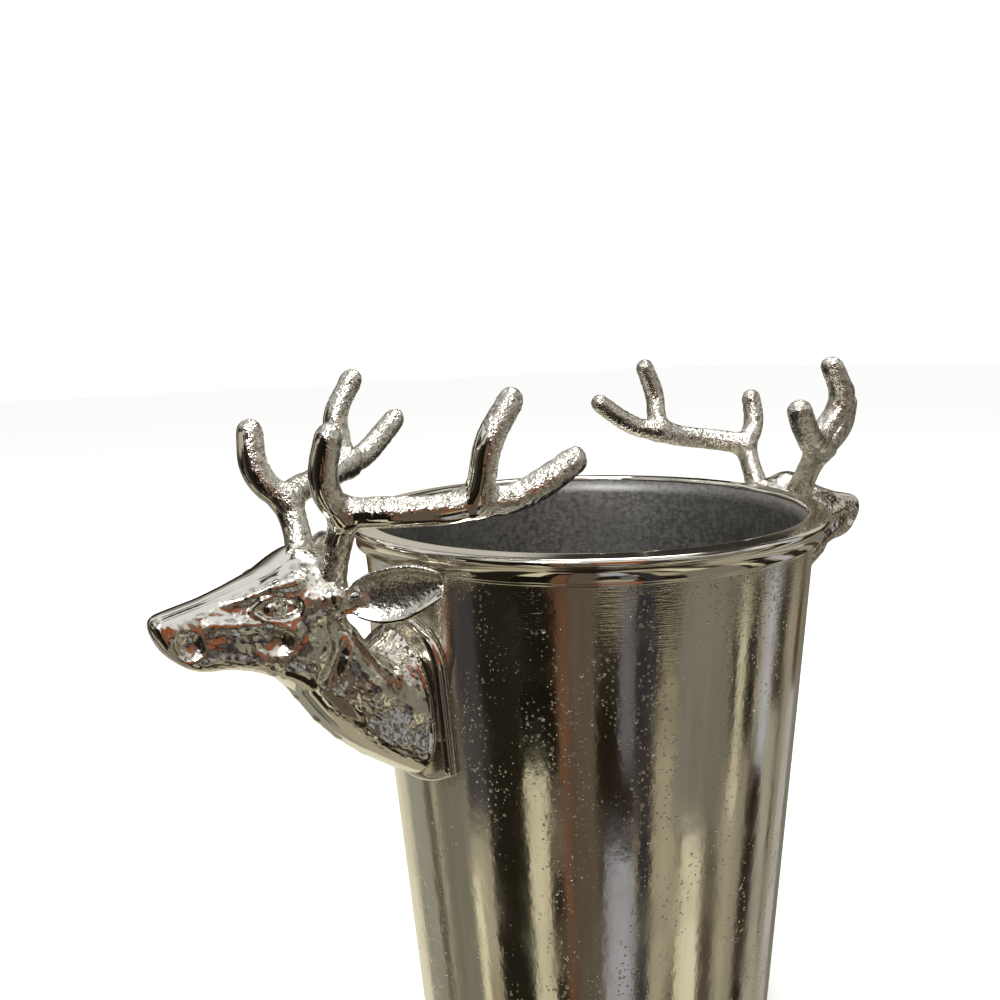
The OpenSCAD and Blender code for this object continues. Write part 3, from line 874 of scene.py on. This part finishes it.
def turned_steel(looks):
    """Stainless steel fixings, turned: fine rings and a soft shine."""
    material, tree, shader = metal("turned_stainless_steel", looks.steel, 0.25)
    rings = mottle(tree, 0.5, 3.0, (1.0, 0.2, 0.2))
    tints = {0: rings, 6: linear(looks.steel), 7: linear("A9ABAD")}
    colour = put(tree, "ShaderNodeMix", tints, data_type="RGBA").outputs[2]
    rough = put(tree, "ShaderNodeMapRange", {0: rings, 1: 0.3, 2: 0.7, 3: 0.18, 4: 0.34}, **SOFT)
    dress(tree, shader, colour, rough, rings, 0.3, 0.05)
    return material


def moulded_rubber(looks):
    """Matt black rubber, moulded: a fine pebble and a grey bloom."""
    material, tree, shader = metal("moulded_rubber", looks.rubber, 0.7)
    feed(tree, shader, {"Metallic": 0.0})
    pebble = mottle(tree, 0.5, 2.0)
    colour = shaded(tree, mottle(tree, 4.0, 3.0), 0.4, 0.8, linear(looks.rubber), linear("2E2E2F"))
    rough = put(tree, "ShaderNodeMapRange", {0: pebble, 1: 0.3, 2: 0.7, 3: 0.62, 4: 0.8}, **SOFT)
    dress(tree, shader, colour, rough, pebble, 0.4, 0.08)
    return material


# ---------------------------------------------------------------- operators, one for each group of pieces


def settings():
    """The three groups of settings: bucket, heads and finishes."""
    scene = bpy.context.scene
    return scene.bucket_sizes, scene.head_sizes, scene.bucket_finishes


class MakeWall(bpy.types.Operator):
    """Make the tapered wall: polished outside, satin inside"""

    bl_idname = "bucket.make_wall"
    bl_label = "Wall"

    def execute(self, context):
        sizes, _, looks = settings()
        foot, top = WALL_FOOT_Z, WALL_TOP_Z
        edge, outer_rings, inner_rings = 0.6, 120, 40
        outside = line((wall_r(foot + edge), foot + edge), (wall_r(top), top), outer_rings)
        outside += [(wall_r(top), top)]
        inside = line((wall_r(top) - WALL_T, top), (wall_r(foot) - WALL_T, foot), inner_rings)
        inside += [(wall_r(foot) - WALL_T, foot), (wall_r(foot) - edge, foot)]
        wall = polished_wall(looks)
        piece = turn_piece("bucket_wall_cast", outside + inside, sizes.turns, wall, sizes.ripple,
                           sizes.ripple_width, sizes.ripple_width * 2.5)
        piece.data.materials.clear()
        for layer in (wall, satin_inside(looks)):
            piece.data.materials.append(layer)
        mid = np.array([p.center[:] for p in piece.data.polygons]) / MM
        inner = np.hypot(mid[:, 0], mid[:, 1]) < wall_r(mid[:, 2]) - WALL_T / 2
        piece.data.polygons.foreach_set("material_index", inner.astype(np.int32))
        finish_piece(piece, "polished_wall", None, "bucket_wall")
        return {"FINISHED"}


class MakeFloor(bpy.types.Operator):
    """Make the floor plate, dished a little round its soldered edge"""

    bl_idname = "bucket.make_floor"
    bl_label = "Floor"

    def execute(self, context):
        _, _, looks = settings()
        edge_r = FLOOR_TOP_R - 0.02
        round_r, steps, ripple, ripple_size = 0.9, 240, 0.02, 18.0
        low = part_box("bucket_floor")[0].z / MM
        outline = line((0.01, low), (edge_r - 1.0, low), 30) + [(edge_r - 1.0, low), (edge_r - 0.25, low + 0.5)]
        outline += arc((edge_r - round_r, FLOOR_TOP_Z - round_r), round_r, 0, 90)
        outline += line((edge_r - 2.0, FLOOR_TOP_Z), (0.01, FLOOR_TOP_Z), 30)
        outline += [(0.01, FLOOR_TOP_Z)]
        piece = turn_piece("bucket_floor_plate", outline, steps, satin_inside(looks), ripple, ripple_size, ripple_size)
        finish_piece(piece, "satin_inside", None, "bucket_floor")
        return {"FINISHED"}


class MakeCollar(bpy.types.Operator):
    """Make the collar: a rolled lip, a hollow under it and a bead at its foot"""

    bl_idname = "bucket.make_collar"
    bl_label = "Rim collar"

    def execute(self, context):
        sizes, _, looks = settings()
        top, foot = RIM_Z, COLLAR_FOOT_Z
        inner_r = wall_r(WALL_TOP_Z) - WALL_T
        outline = [(wall_r(foot) + 0.05, foot), (wall_r(foot) + 0.7, foot)]
        outline += arc((wall_r(foot) + 0.8, foot + 0.6), 0.6, -70, 40, 6)
        outline += arc((LIP_R + 2.6, foot + 1.9), 4.9, 188, 128, 14)
        outline += arc((LIP_R - 1.33, top - 1.55), 1.3, -40, 80, 12)
        outline += line((LIP_R - 1.9, top - 0.22), (inner_r + 1.6, top - 0.02), 5)
        outline += arc((inner_r + 1.2, top - 1.2), 1.2, 88, 180, 8)
        outline += [(inner_r + 0.1, WALL_TOP_Z + 0.02), (wall_r(WALL_TOP_Z) + 0.05, WALL_TOP_Z + 0.02)]
        piece = turn_piece("rim_collar_rolled", outline, sizes.turns, polished_collar(looks), 0.02, 12.0, 12.0)
        finish_piece(piece, "polished_collar", None, "rim_collar")
        return {"FINISHED"}


def cast_piece(name, skin, quads, polish, hollow, side, mirrored, slot, material):
    """A cast piece in its place on the bucket, with the marks that its finish reads: its polish, and the painted shade
    in its hollows.
    """
    faces = quads[:, ::-1] if mirrored else quads
    piece = new_piece(name + "_cast", to_bucket(skin, side, mirrored), faces, {"polish": polish, "hollow": hollow})
    return finish_piece(piece, slot, material, name)


class MakeHeads(bpy.types.Operator):
    """Make the two stag heads with their necks"""

    bl_idname = "bucket.make_heads"
    bl_label = "Stag heads"

    def execute(self, context):
        _, sizes, looks = settings()
        material = cast_nickel("cast_nickel_fur", looks, 0.9, 0.045, 0.06, 0.17)
        points, quads, normals = skin_of(head_shape, (62, -24, -76), (139, 24, 6), sizes.cell)
        polish = head_polish(points)
        cast = 1 - polish
        neck = smooth(-points[:, 2], 28, 36)
        for side, name, seed in ((-1, "left_stag_head", 11), (1, "right_stag_head", 47)):
            tufts = fur_height(points, seed)
            uneven = (0.05 + 0.22 * neck * cast) * lumps(points, seed) * (1 - 0.5 * polish)
            skin = points + normals * (tufts * sizes.fur * cast + uneven)[:, None]
            skin[:, 0] = np.minimum(skin[:, 0], NOSE_X)
            # painted shade: the hollows between the fur tufts are marked for the finish to darken
            hollow = np.clip(-tufts * 0.8 - 0.1, 0, 1) * cast
            cast_piece(name, skin, quads, polish, hollow, side, False, "cast_head", material)
        return {"FINISHED"}


class MakePlates(bpy.types.Operator):
    """Make the curved plate behind each neck"""

    bl_idname = "bucket.make_plates"
    bl_label = "Neck plates"

    def execute(self, context):
        _, sizes, looks = settings()
        material = cast_nickel("polished_nickel_plate", looks, 0.6, 0.06, 0.06, 0.2)
        points, quads, normals = skin_of(plate_shape, (56, -24, -76), (76, 24, -18), sizes.cell)
        polish = 0.9 - 0.5 * smooth(grain(points, 3.0, 5), 0.2, 0.8)
        hollow = np.zeros(len(points))
        for side, name in ((-1, "left_neck_plate"), (1, "right_neck_plate")):
            skin = points + normals * (0.02 * lumps(points, 7 + side))[:, None]
            cast_piece(name, skin, quads, polish, hollow, side, False, "polished_plate", material)
        return {"FINISHED"}


class MakeEars(bpy.types.Operator):
    """Make the four cupped ears"""

    bl_idname = "bucket.make_ears"
    bl_label = "Ears"

    def execute(self, context):
        _, _, looks = settings()
        ear_cell = 0.34
        material = cast_nickel("cast_nickel_ear", looks, 0.5, 0.09, 0.08, 0.26)
        points, quads, normals = skin_of(ear_shape, (66, 10, -22), (97, 40, 2), ear_cell)
        spot = (points - EAR_SEAT) @ ear_axes()
        half = np.interp(spot[:, 0], EAR_OUTLINE[:, 0], EAR_OUTLINE[:, 1])
        rim = smooth(-(spot[:, 2] + 0.9 - 1.6 * smooth(spot[:, 0], 10, 29)), half - 1.8, half - 0.9)
        back = smooth(normals @ ear_axes()[:, 1], 0.0, 0.5)
        polish = np.clip(np.maximum(rim, back * 0.6), 0, 1)
        ears = (("left_front_ear", -1, False), ("left_rear_ear", -1, True),
                ("right_front_ear", 1, True), ("right_rear_ear", 1, False))
        for seed, (name, side, mirrored) in enumerate(ears):
            fur = fur_height(points, 80 + seed)
            skin = points + normals * (fur * 0.13 * (1 - polish) + 0.03 * lumps(points, 90 + seed))[:, None]
            # painted shade: the hollows of the ear's fur are marked for the finish to darken
            hollow = np.clip(-fur, 0, 1) * (1 - polish)
            cast_piece(name, skin, quads, polish, hollow, side, mirrored, "cast_ear", material)
        return {"FINISHED"}


# Name, side of the bucket, whether it is the mirrored antler of its head, the lean it was set
# at, how far its tines were bent up and back, and how far its upper tine bows forward
ANTLERS = (
    ("left_front_antler", -1, False, -7.0, 2.15, 1.0, 0.0),
    ("left_rear_antler", -1, True, 0.0, 2.15, 3.0, 0.0),
    ("right_front_antler", 1, True, 3.0, 0.0, -2.5, 3.0),
    ("right_rear_antler", 1, False, 2.0, 0.0, 0.0, 0.0),
)


def bent(points, up, back, bow):
    """Points of an antler whose tines were bent up and back, and the upper one bowed, by amounts in mm."""
    out = points.copy()
    behind = smooth(-points[:, 0], -80, -72)
    middle = smooth(points[:, 2], 17, 27) * smooth(-points[:, 2], -42, -32)
    out[:, 0] += bow * middle * smooth(points[:, 0], 57, 61) * behind
    out[:, 2] += up * smooth(points[:, 2], 15, 36)
    out[:, 0] -= back * smooth(points[:, 2], 18, 42) * behind
    return out


class MakeAntlers(bpy.types.Operator):
    """Make the four antlers"""

    bl_idname = "bucket.make_antlers"
    bl_label = "Antlers"

    def execute(self, context):
        _, sizes, looks = settings()
        material = cast_nickel("cast_nickel_antler", looks, 0.42, 0.17, 0.06, 0.14)
        points, quads, normals = skin_of(antler_shape, (36, 2, -12), (108, 54, 50), sizes.antler_cell)
        toward = np.array([0.75, 0.0, -0.66])
        for seed, (name, side, mirrored, lean, up, back, bow) in enumerate(ANTLERS):
            edge = normals @ toward + 0.22 * grain(points, 5.0, 30 + seed) + 0.12 * grain(points, 1.2, 35 + seed)
            polish = smooth(edge, 0.30, 0.52) * smooth(points[:, 2], 0, 5)
            sand = 0.8 * grain(points, 0.85, 20 + seed) + 0.5 * grain(points, 1.7, 25 + seed)
            skin = points + normals * (sand * sizes.sand * (1 - polish) + 0.06 * lumps(points, 60 + seed))[:, None]
            placed = leaned(bent(skin, up, back, bow), lean)
            # painted shade: the hollows of the sand grain are marked for the finish to darken
            hollow = np.clip(-sand, 0, 1) * (1 - polish)
            cast_piece(name, placed, quads, polish, hollow, side, mirrored, "cast_antler", material)
        return {"FINISHED"}


class DressFixings(bpy.types.Operator):
    """Give the screws, washers, studs, pins and pads their finishes"""

    bl_idname = "bucket.dress_fixings"
    bl_label = "Fixings"

    def execute(self, context):
        _, _, looks = settings()
        steel, rubber = turned_steel(looks), moulded_rubber(looks)
        finishes = {"antler_studs": steel, "ear_pins": steel, "neck_screws": steel, "screw_washers": steel,
                    "sealing_washers": rubber, "foot_pads": rubber}
        for node, material in finishes.items():
            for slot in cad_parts[node].material_slots:
                slot.link = "OBJECT"
                slot.material = material
        return {"FINISHED"}


class MakeStage(bpy.types.Operator):
    """Set the floor, the soft lights, the reflection cards and the camera"""

    bl_idname = "bucket.make_stage"
    bl_label = "Studio"

    def execute(self, context):
        _, _, looks = settings()
        make_floor_sheet(looks)
        make_cards()
        make_air()
        make_lights()
        make_camera()
        return {"FINISHED"}


def studio_surface(name, colour, glow_colour="FFFFFF", glow=0.0):
    """A matt surface for the studio; one with a glow shows an even light of one colour."""
    material, tree, shader = metal(name, colour, 1.0)
    feed(tree, shader, {"Metallic": 0.0, "Specular IOR Level": 0.0,
                        "Emission Color": linear(glow_colour), "Emission Strength": glow})
    return material


def make_floor_sheet(looks):
    """A plain pale floor."""
    half = 6000.0
    floor = new_piece("studio_floor", [(-half, -half, 0), (half, -half, 0), (half, half, 0), (-half, half, 0)],
                      [(0, 1, 2, 3)])
    floor.data.materials.append(studio_surface("pale_paper", looks.floor))
    floor.visible_glossy = False


# Cards that stand round the bucket for its metal to mirror. Each: heading from the bucket and
# width in degrees, foot and top in mm, colour, glow
CARDS = (
    (152.0, 22.0, -700.0, -90.0, "8B8778", 0.9),
    (165.0, 7.0, -700.0, -170.0, "EAE2C2", 1.1),
    (173.0, 6.0, -700.0, -260.0, "B0A68A", 0.9),
    (171.0, 14.0, -140.0, 260.0, "514D4F", 0.8),
    (188.0, 22.0, -700.0, 300.0, "28241A", 0.9),
    (204.0, 12.0, -700.0, -105.0, "E3DCBE", 1.0),
    (208.0, 18.0, -110.0, 300.0, "1A1710", 0.9),
    (220.0, 6.0, -330.0, 260.0, "7C5A45", 0.9),
    (229.5, 12.0, -700.0, 320.0, "6A6054", 0.9),
    (234.0, 9.0, -700.0, -160.0, "57402F", 0.9),
    (247.0, 14.0, -700.0, -190.0, "B4B5BE", 1.0),
    (250.0, 7.0, -120.0, 60.0, "77757A", 0.9),
    (244.0, 22.0, 120.0, 430.0, "A05A38", 1.0),
    (222.0, 14.0, 320.0, 520.0, "D8D4CA", 1.0),
    (260.0, 8.0, -700.0, 300.0, "3A373B", 0.9),
    (289.0, 30.0, -180.0, 300.0, "8C887C", 0.9),
    (287.0, 14.0, -700.0, -180.0, "E9E2C6", 1.05),
    (300.0, 8.0, -700.0, -180.0, "5A5448", 0.9),
    (311.0, 5.0, -170.0, 40.0, "DAD3B6", 1.0),
    (318.0, 8.0, -110.0, 300.0, "2B261F", 0.9),
    (330.0, 8.0, -120.0, 300.0, "C4C5CC", 1.0),
    (341.0, 10.0, -70.0, 300.0, "3B3128", 0.9),
    (353.0, 8.0, -500.0, 120.0, "A9A28F", 0.9),
    (3.0, 9.0, -50.0, 220.0, "5C4736", 0.9),
    (22.0, 26.0, -400.0, 300.0, "8B8778", 0.8),
    (45.0, 16.0, -60.0, 260.0, "28241A", 0.9),
    (74.0, 64.0, -900.0, -70.0, "E9E2C8", 1.0),
    (62.0, 12.0, -60.0, 200.0, "E3DCBE", 0.9),
    (84.0, 18.0, -60.0, 320.0, "5C4736", 0.9),
    (112.0, 14.0, -60.0, 120.0, "B4B5BE", 0.9),
    (132.0, 8.0, -500.0, 300.0, "6A6458", 0.9),
    (116.0, 20.0, -900.0, -70.0, "A8A698", 0.9),
    (318.0, 8.0, -700.0, -110.0, "A39C88", 0.95),
    (341.0, 12.0, -700.0, -70.0, "B4AF9E", 0.95),
    (3.0, 14.0, -700.0, -50.0, "C2C0B8", 0.95),
)
# How far the first card stands from the axis, how much further each next one, and its facets
CARD_REACH, CARD_GAP, CARD_FACETS = 400.0, 4.0, 8


def make_cards():
    """Tall cards round the bucket that only its metal sees."""
    for i, (heading, width, foot, top, colour, glow) in enumerate(CARDS):
        angles = np.radians(heading + np.linspace(-0.5, 0.5, CARD_FACETS + 1) * width)
        reach = CARD_REACH + CARD_GAP * i
        ring = [(reach * math.cos(a), reach * math.sin(a)) for a in angles]
        points = [(x, y, foot) for x, y in ring] + [(x, y, top) for x, y in ring]
        above = CARD_FACETS + 1
        faces = [(j, j + 1, j + 1 + above, j + above) for j in range(CARD_FACETS)]
        card = new_piece(f"reflection_card_{i}", points, faces)
        card.data.materials.append(studio_surface(f"card_{i}", "000000", colour, glow))
        card.visible_camera = card.visible_diffuse = card.visible_shadow = False
        card.visible_transmission = card.visible_volume_scatter = False


def soft_light(name, place, aim, width, height, watts, colour):
    """A rectangular soft light at a place, aimed at a point, all in mm."""
    data = bpy.data.lights.new(name, "AREA")
    data.shape = "RECTANGLE"
    data.size, data.size_y = width * MM, height * MM
    data.energy = watts
    data.color = linear(colour)[:3]
    lamp = bpy.data.objects.new(name, data)
    lamp.location = Vector(place) * MM
    lamp.rotation_euler = (Vector(aim) - Vector(place)).to_track_quat("-Z", "Y").to_euler()
    bpy.context.scene.collection.objects.link(lamp)
    return lamp


def make_air():
    """White air all round, which the metal mirrors as a dim room with bright and dark patches."""
    world = bpy.data.worlds.new("studio_air")
    world.use_nodes = True
    tree = world.node_tree
    tree.nodes.clear()
    heading = put(tree, "ShaderNodeTexCoord").outputs["Generated"]
    height = put(tree, "ShaderNodeSeparateXYZ", {0: heading}).outputs["Z"]
    dark = shaded(tree, height, -0.1, 0.75, linear("261E16"), linear("4A4742"))
    bright = shaded(tree, height, -0.1, 0.75, linear("B5AC94"), linear("F8F8F8"))
    patches = put(tree, "ShaderNodeTexNoise", {"Vector": heading, "Scale": 2.3, "Detail": 2.0})
    room = shaded(tree, patches, 0.45, 0.55, dark, bright)
    mirrored = put(tree, "ShaderNodeLightPath").outputs["Is Glossy Ray"]
    seen = put(tree, "ShaderNodeMix", {0: mirrored, 6: linear("FFFFFF"), 7: room}, data_type="RGBA").outputs[2]
    shader = put(tree, "ShaderNodeBackground", {"Color": seen, "Strength": 1.0})
    put(tree, "ShaderNodeOutputWorld", {"Surface": shader})
    bpy.context.scene.world = world


def make_lights():
    """A large soft key from the front left and a softer one from above."""
    aim = (0, 0, 150)
    soft_light("key_light", (-700, -500, 900), aim, 300, 500, 7.0, "FFFFFF")
    soft_light("top_light", (300, 200, 1200), aim, 500, 500, 7.0, "FFFBF2")
    bpy.context.scene.view_settings.view_transform = "Standard"


# The camera: distance from the centre of the rim, heading, height angle, and the small turns
# that set the bucket low in the view
CAMERA_DISTANCE, CAMERA_HEADING, CAMERA_HEIGHT = 305.8, -128.7, 9.76
CAMERA_PAN, CAMERA_TILT, CAMERA_ROLL = -5.05, -0.46, 0.93
CAMERA_LENS, CAMERA_SENSOR = 34.3, 36.0


def make_camera():
    """A camera a short way above the rim, looking across the bucket."""
    data = bpy.data.cameras.new("camera")
    data.lens, data.sensor_width = CAMERA_LENS, CAMERA_SENSOR
    data.clip_start = 0.01
    camera = bpy.data.objects.new("camera", data)
    heading, height = math.radians(CAMERA_HEADING), math.radians(CAMERA_HEIGHT)
    away = Vector((math.cos(heading) * math.cos(height), math.sin(heading) * math.cos(height), math.sin(height)))
    right = Vector((-math.sin(heading), math.cos(heading), 0))
    up = away.cross(right)
    look = Matrix((right, up, away))
    turn = Matrix.Rotation(math.radians(CAMERA_ROLL), 3, "Z")
    turn = turn @ Matrix.Rotation(math.radians(CAMERA_TILT), 3, "X")
    turn = turn @ Matrix.Rotation(math.radians(CAMERA_PAN), 3, "Y")
    camera.matrix_world = Matrix.Translation((away * CAMERA_DISTANCE + Vector((0, 0, RIM_Z))) * MM) @ (
        turn @ look).transposed().to_4x4()
    bpy.context.scene.collection.objects.link(camera)
    bpy.context.scene.camera = camera


class BucketPanel(bpy.types.Panel):
    """Lists the bucket's pieces and settings"""

    bl_idname = "VIEW3D_PT_bucket"
    bl_label = "Champagne bucket"
    bl_space_type = "VIEW_3D"
    bl_region_type = "UI"
    bl_category = "Bucket"

    def draw(self, context):
        layout = self.layout
        for group in settings():
            box = layout.box()
            for key in group.__annotations__:
                box.prop(group, key)
        for operator in OPERATORS:
            layout.operator(operator.bl_idname)


OPERATORS = (MakeStage, MakeWall, MakeFloor, MakeCollar, MakeHeads, MakePlates, MakeEars, MakeAntlers, DressFixings)
CLASSES = (BucketSizes, HeadSizes, Finishes, *OPERATORS, BucketPanel)


def register():
    for cls in CLASSES:
        bpy.utils.register_class(cls)
    bpy.types.Scene.bucket_sizes = bpy.props.PointerProperty(type=BucketSizes)
    bpy.types.Scene.head_sizes = bpy.props.PointerProperty(type=HeadSizes)
    bpy.types.Scene.bucket_finishes = bpy.props.PointerProperty(type=Finishes)


def unregister():
    del bpy.types.Scene.bucket_sizes
    del bpy.types.Scene.head_sizes
    del bpy.types.Scene.bucket_finishes
    for cls in reversed(CLASSES):
        bpy.utils.unregister_class(cls)


def main():
    register()
    bpy.ops.bucket.make_stage()
    bpy.ops.bucket.make_wall()
    bpy.ops.bucket.make_floor()
    bpy.ops.bucket.make_collar()
    bpy.ops.bucket.make_heads()
    bpy.ops.bucket.make_plates()
    bpy.ops.bucket.make_ears()
    bpy.ops.bucket.make_antlers()
    bpy.ops.bucket.dress_fixings()


if __name__ == "__main__":
    main()
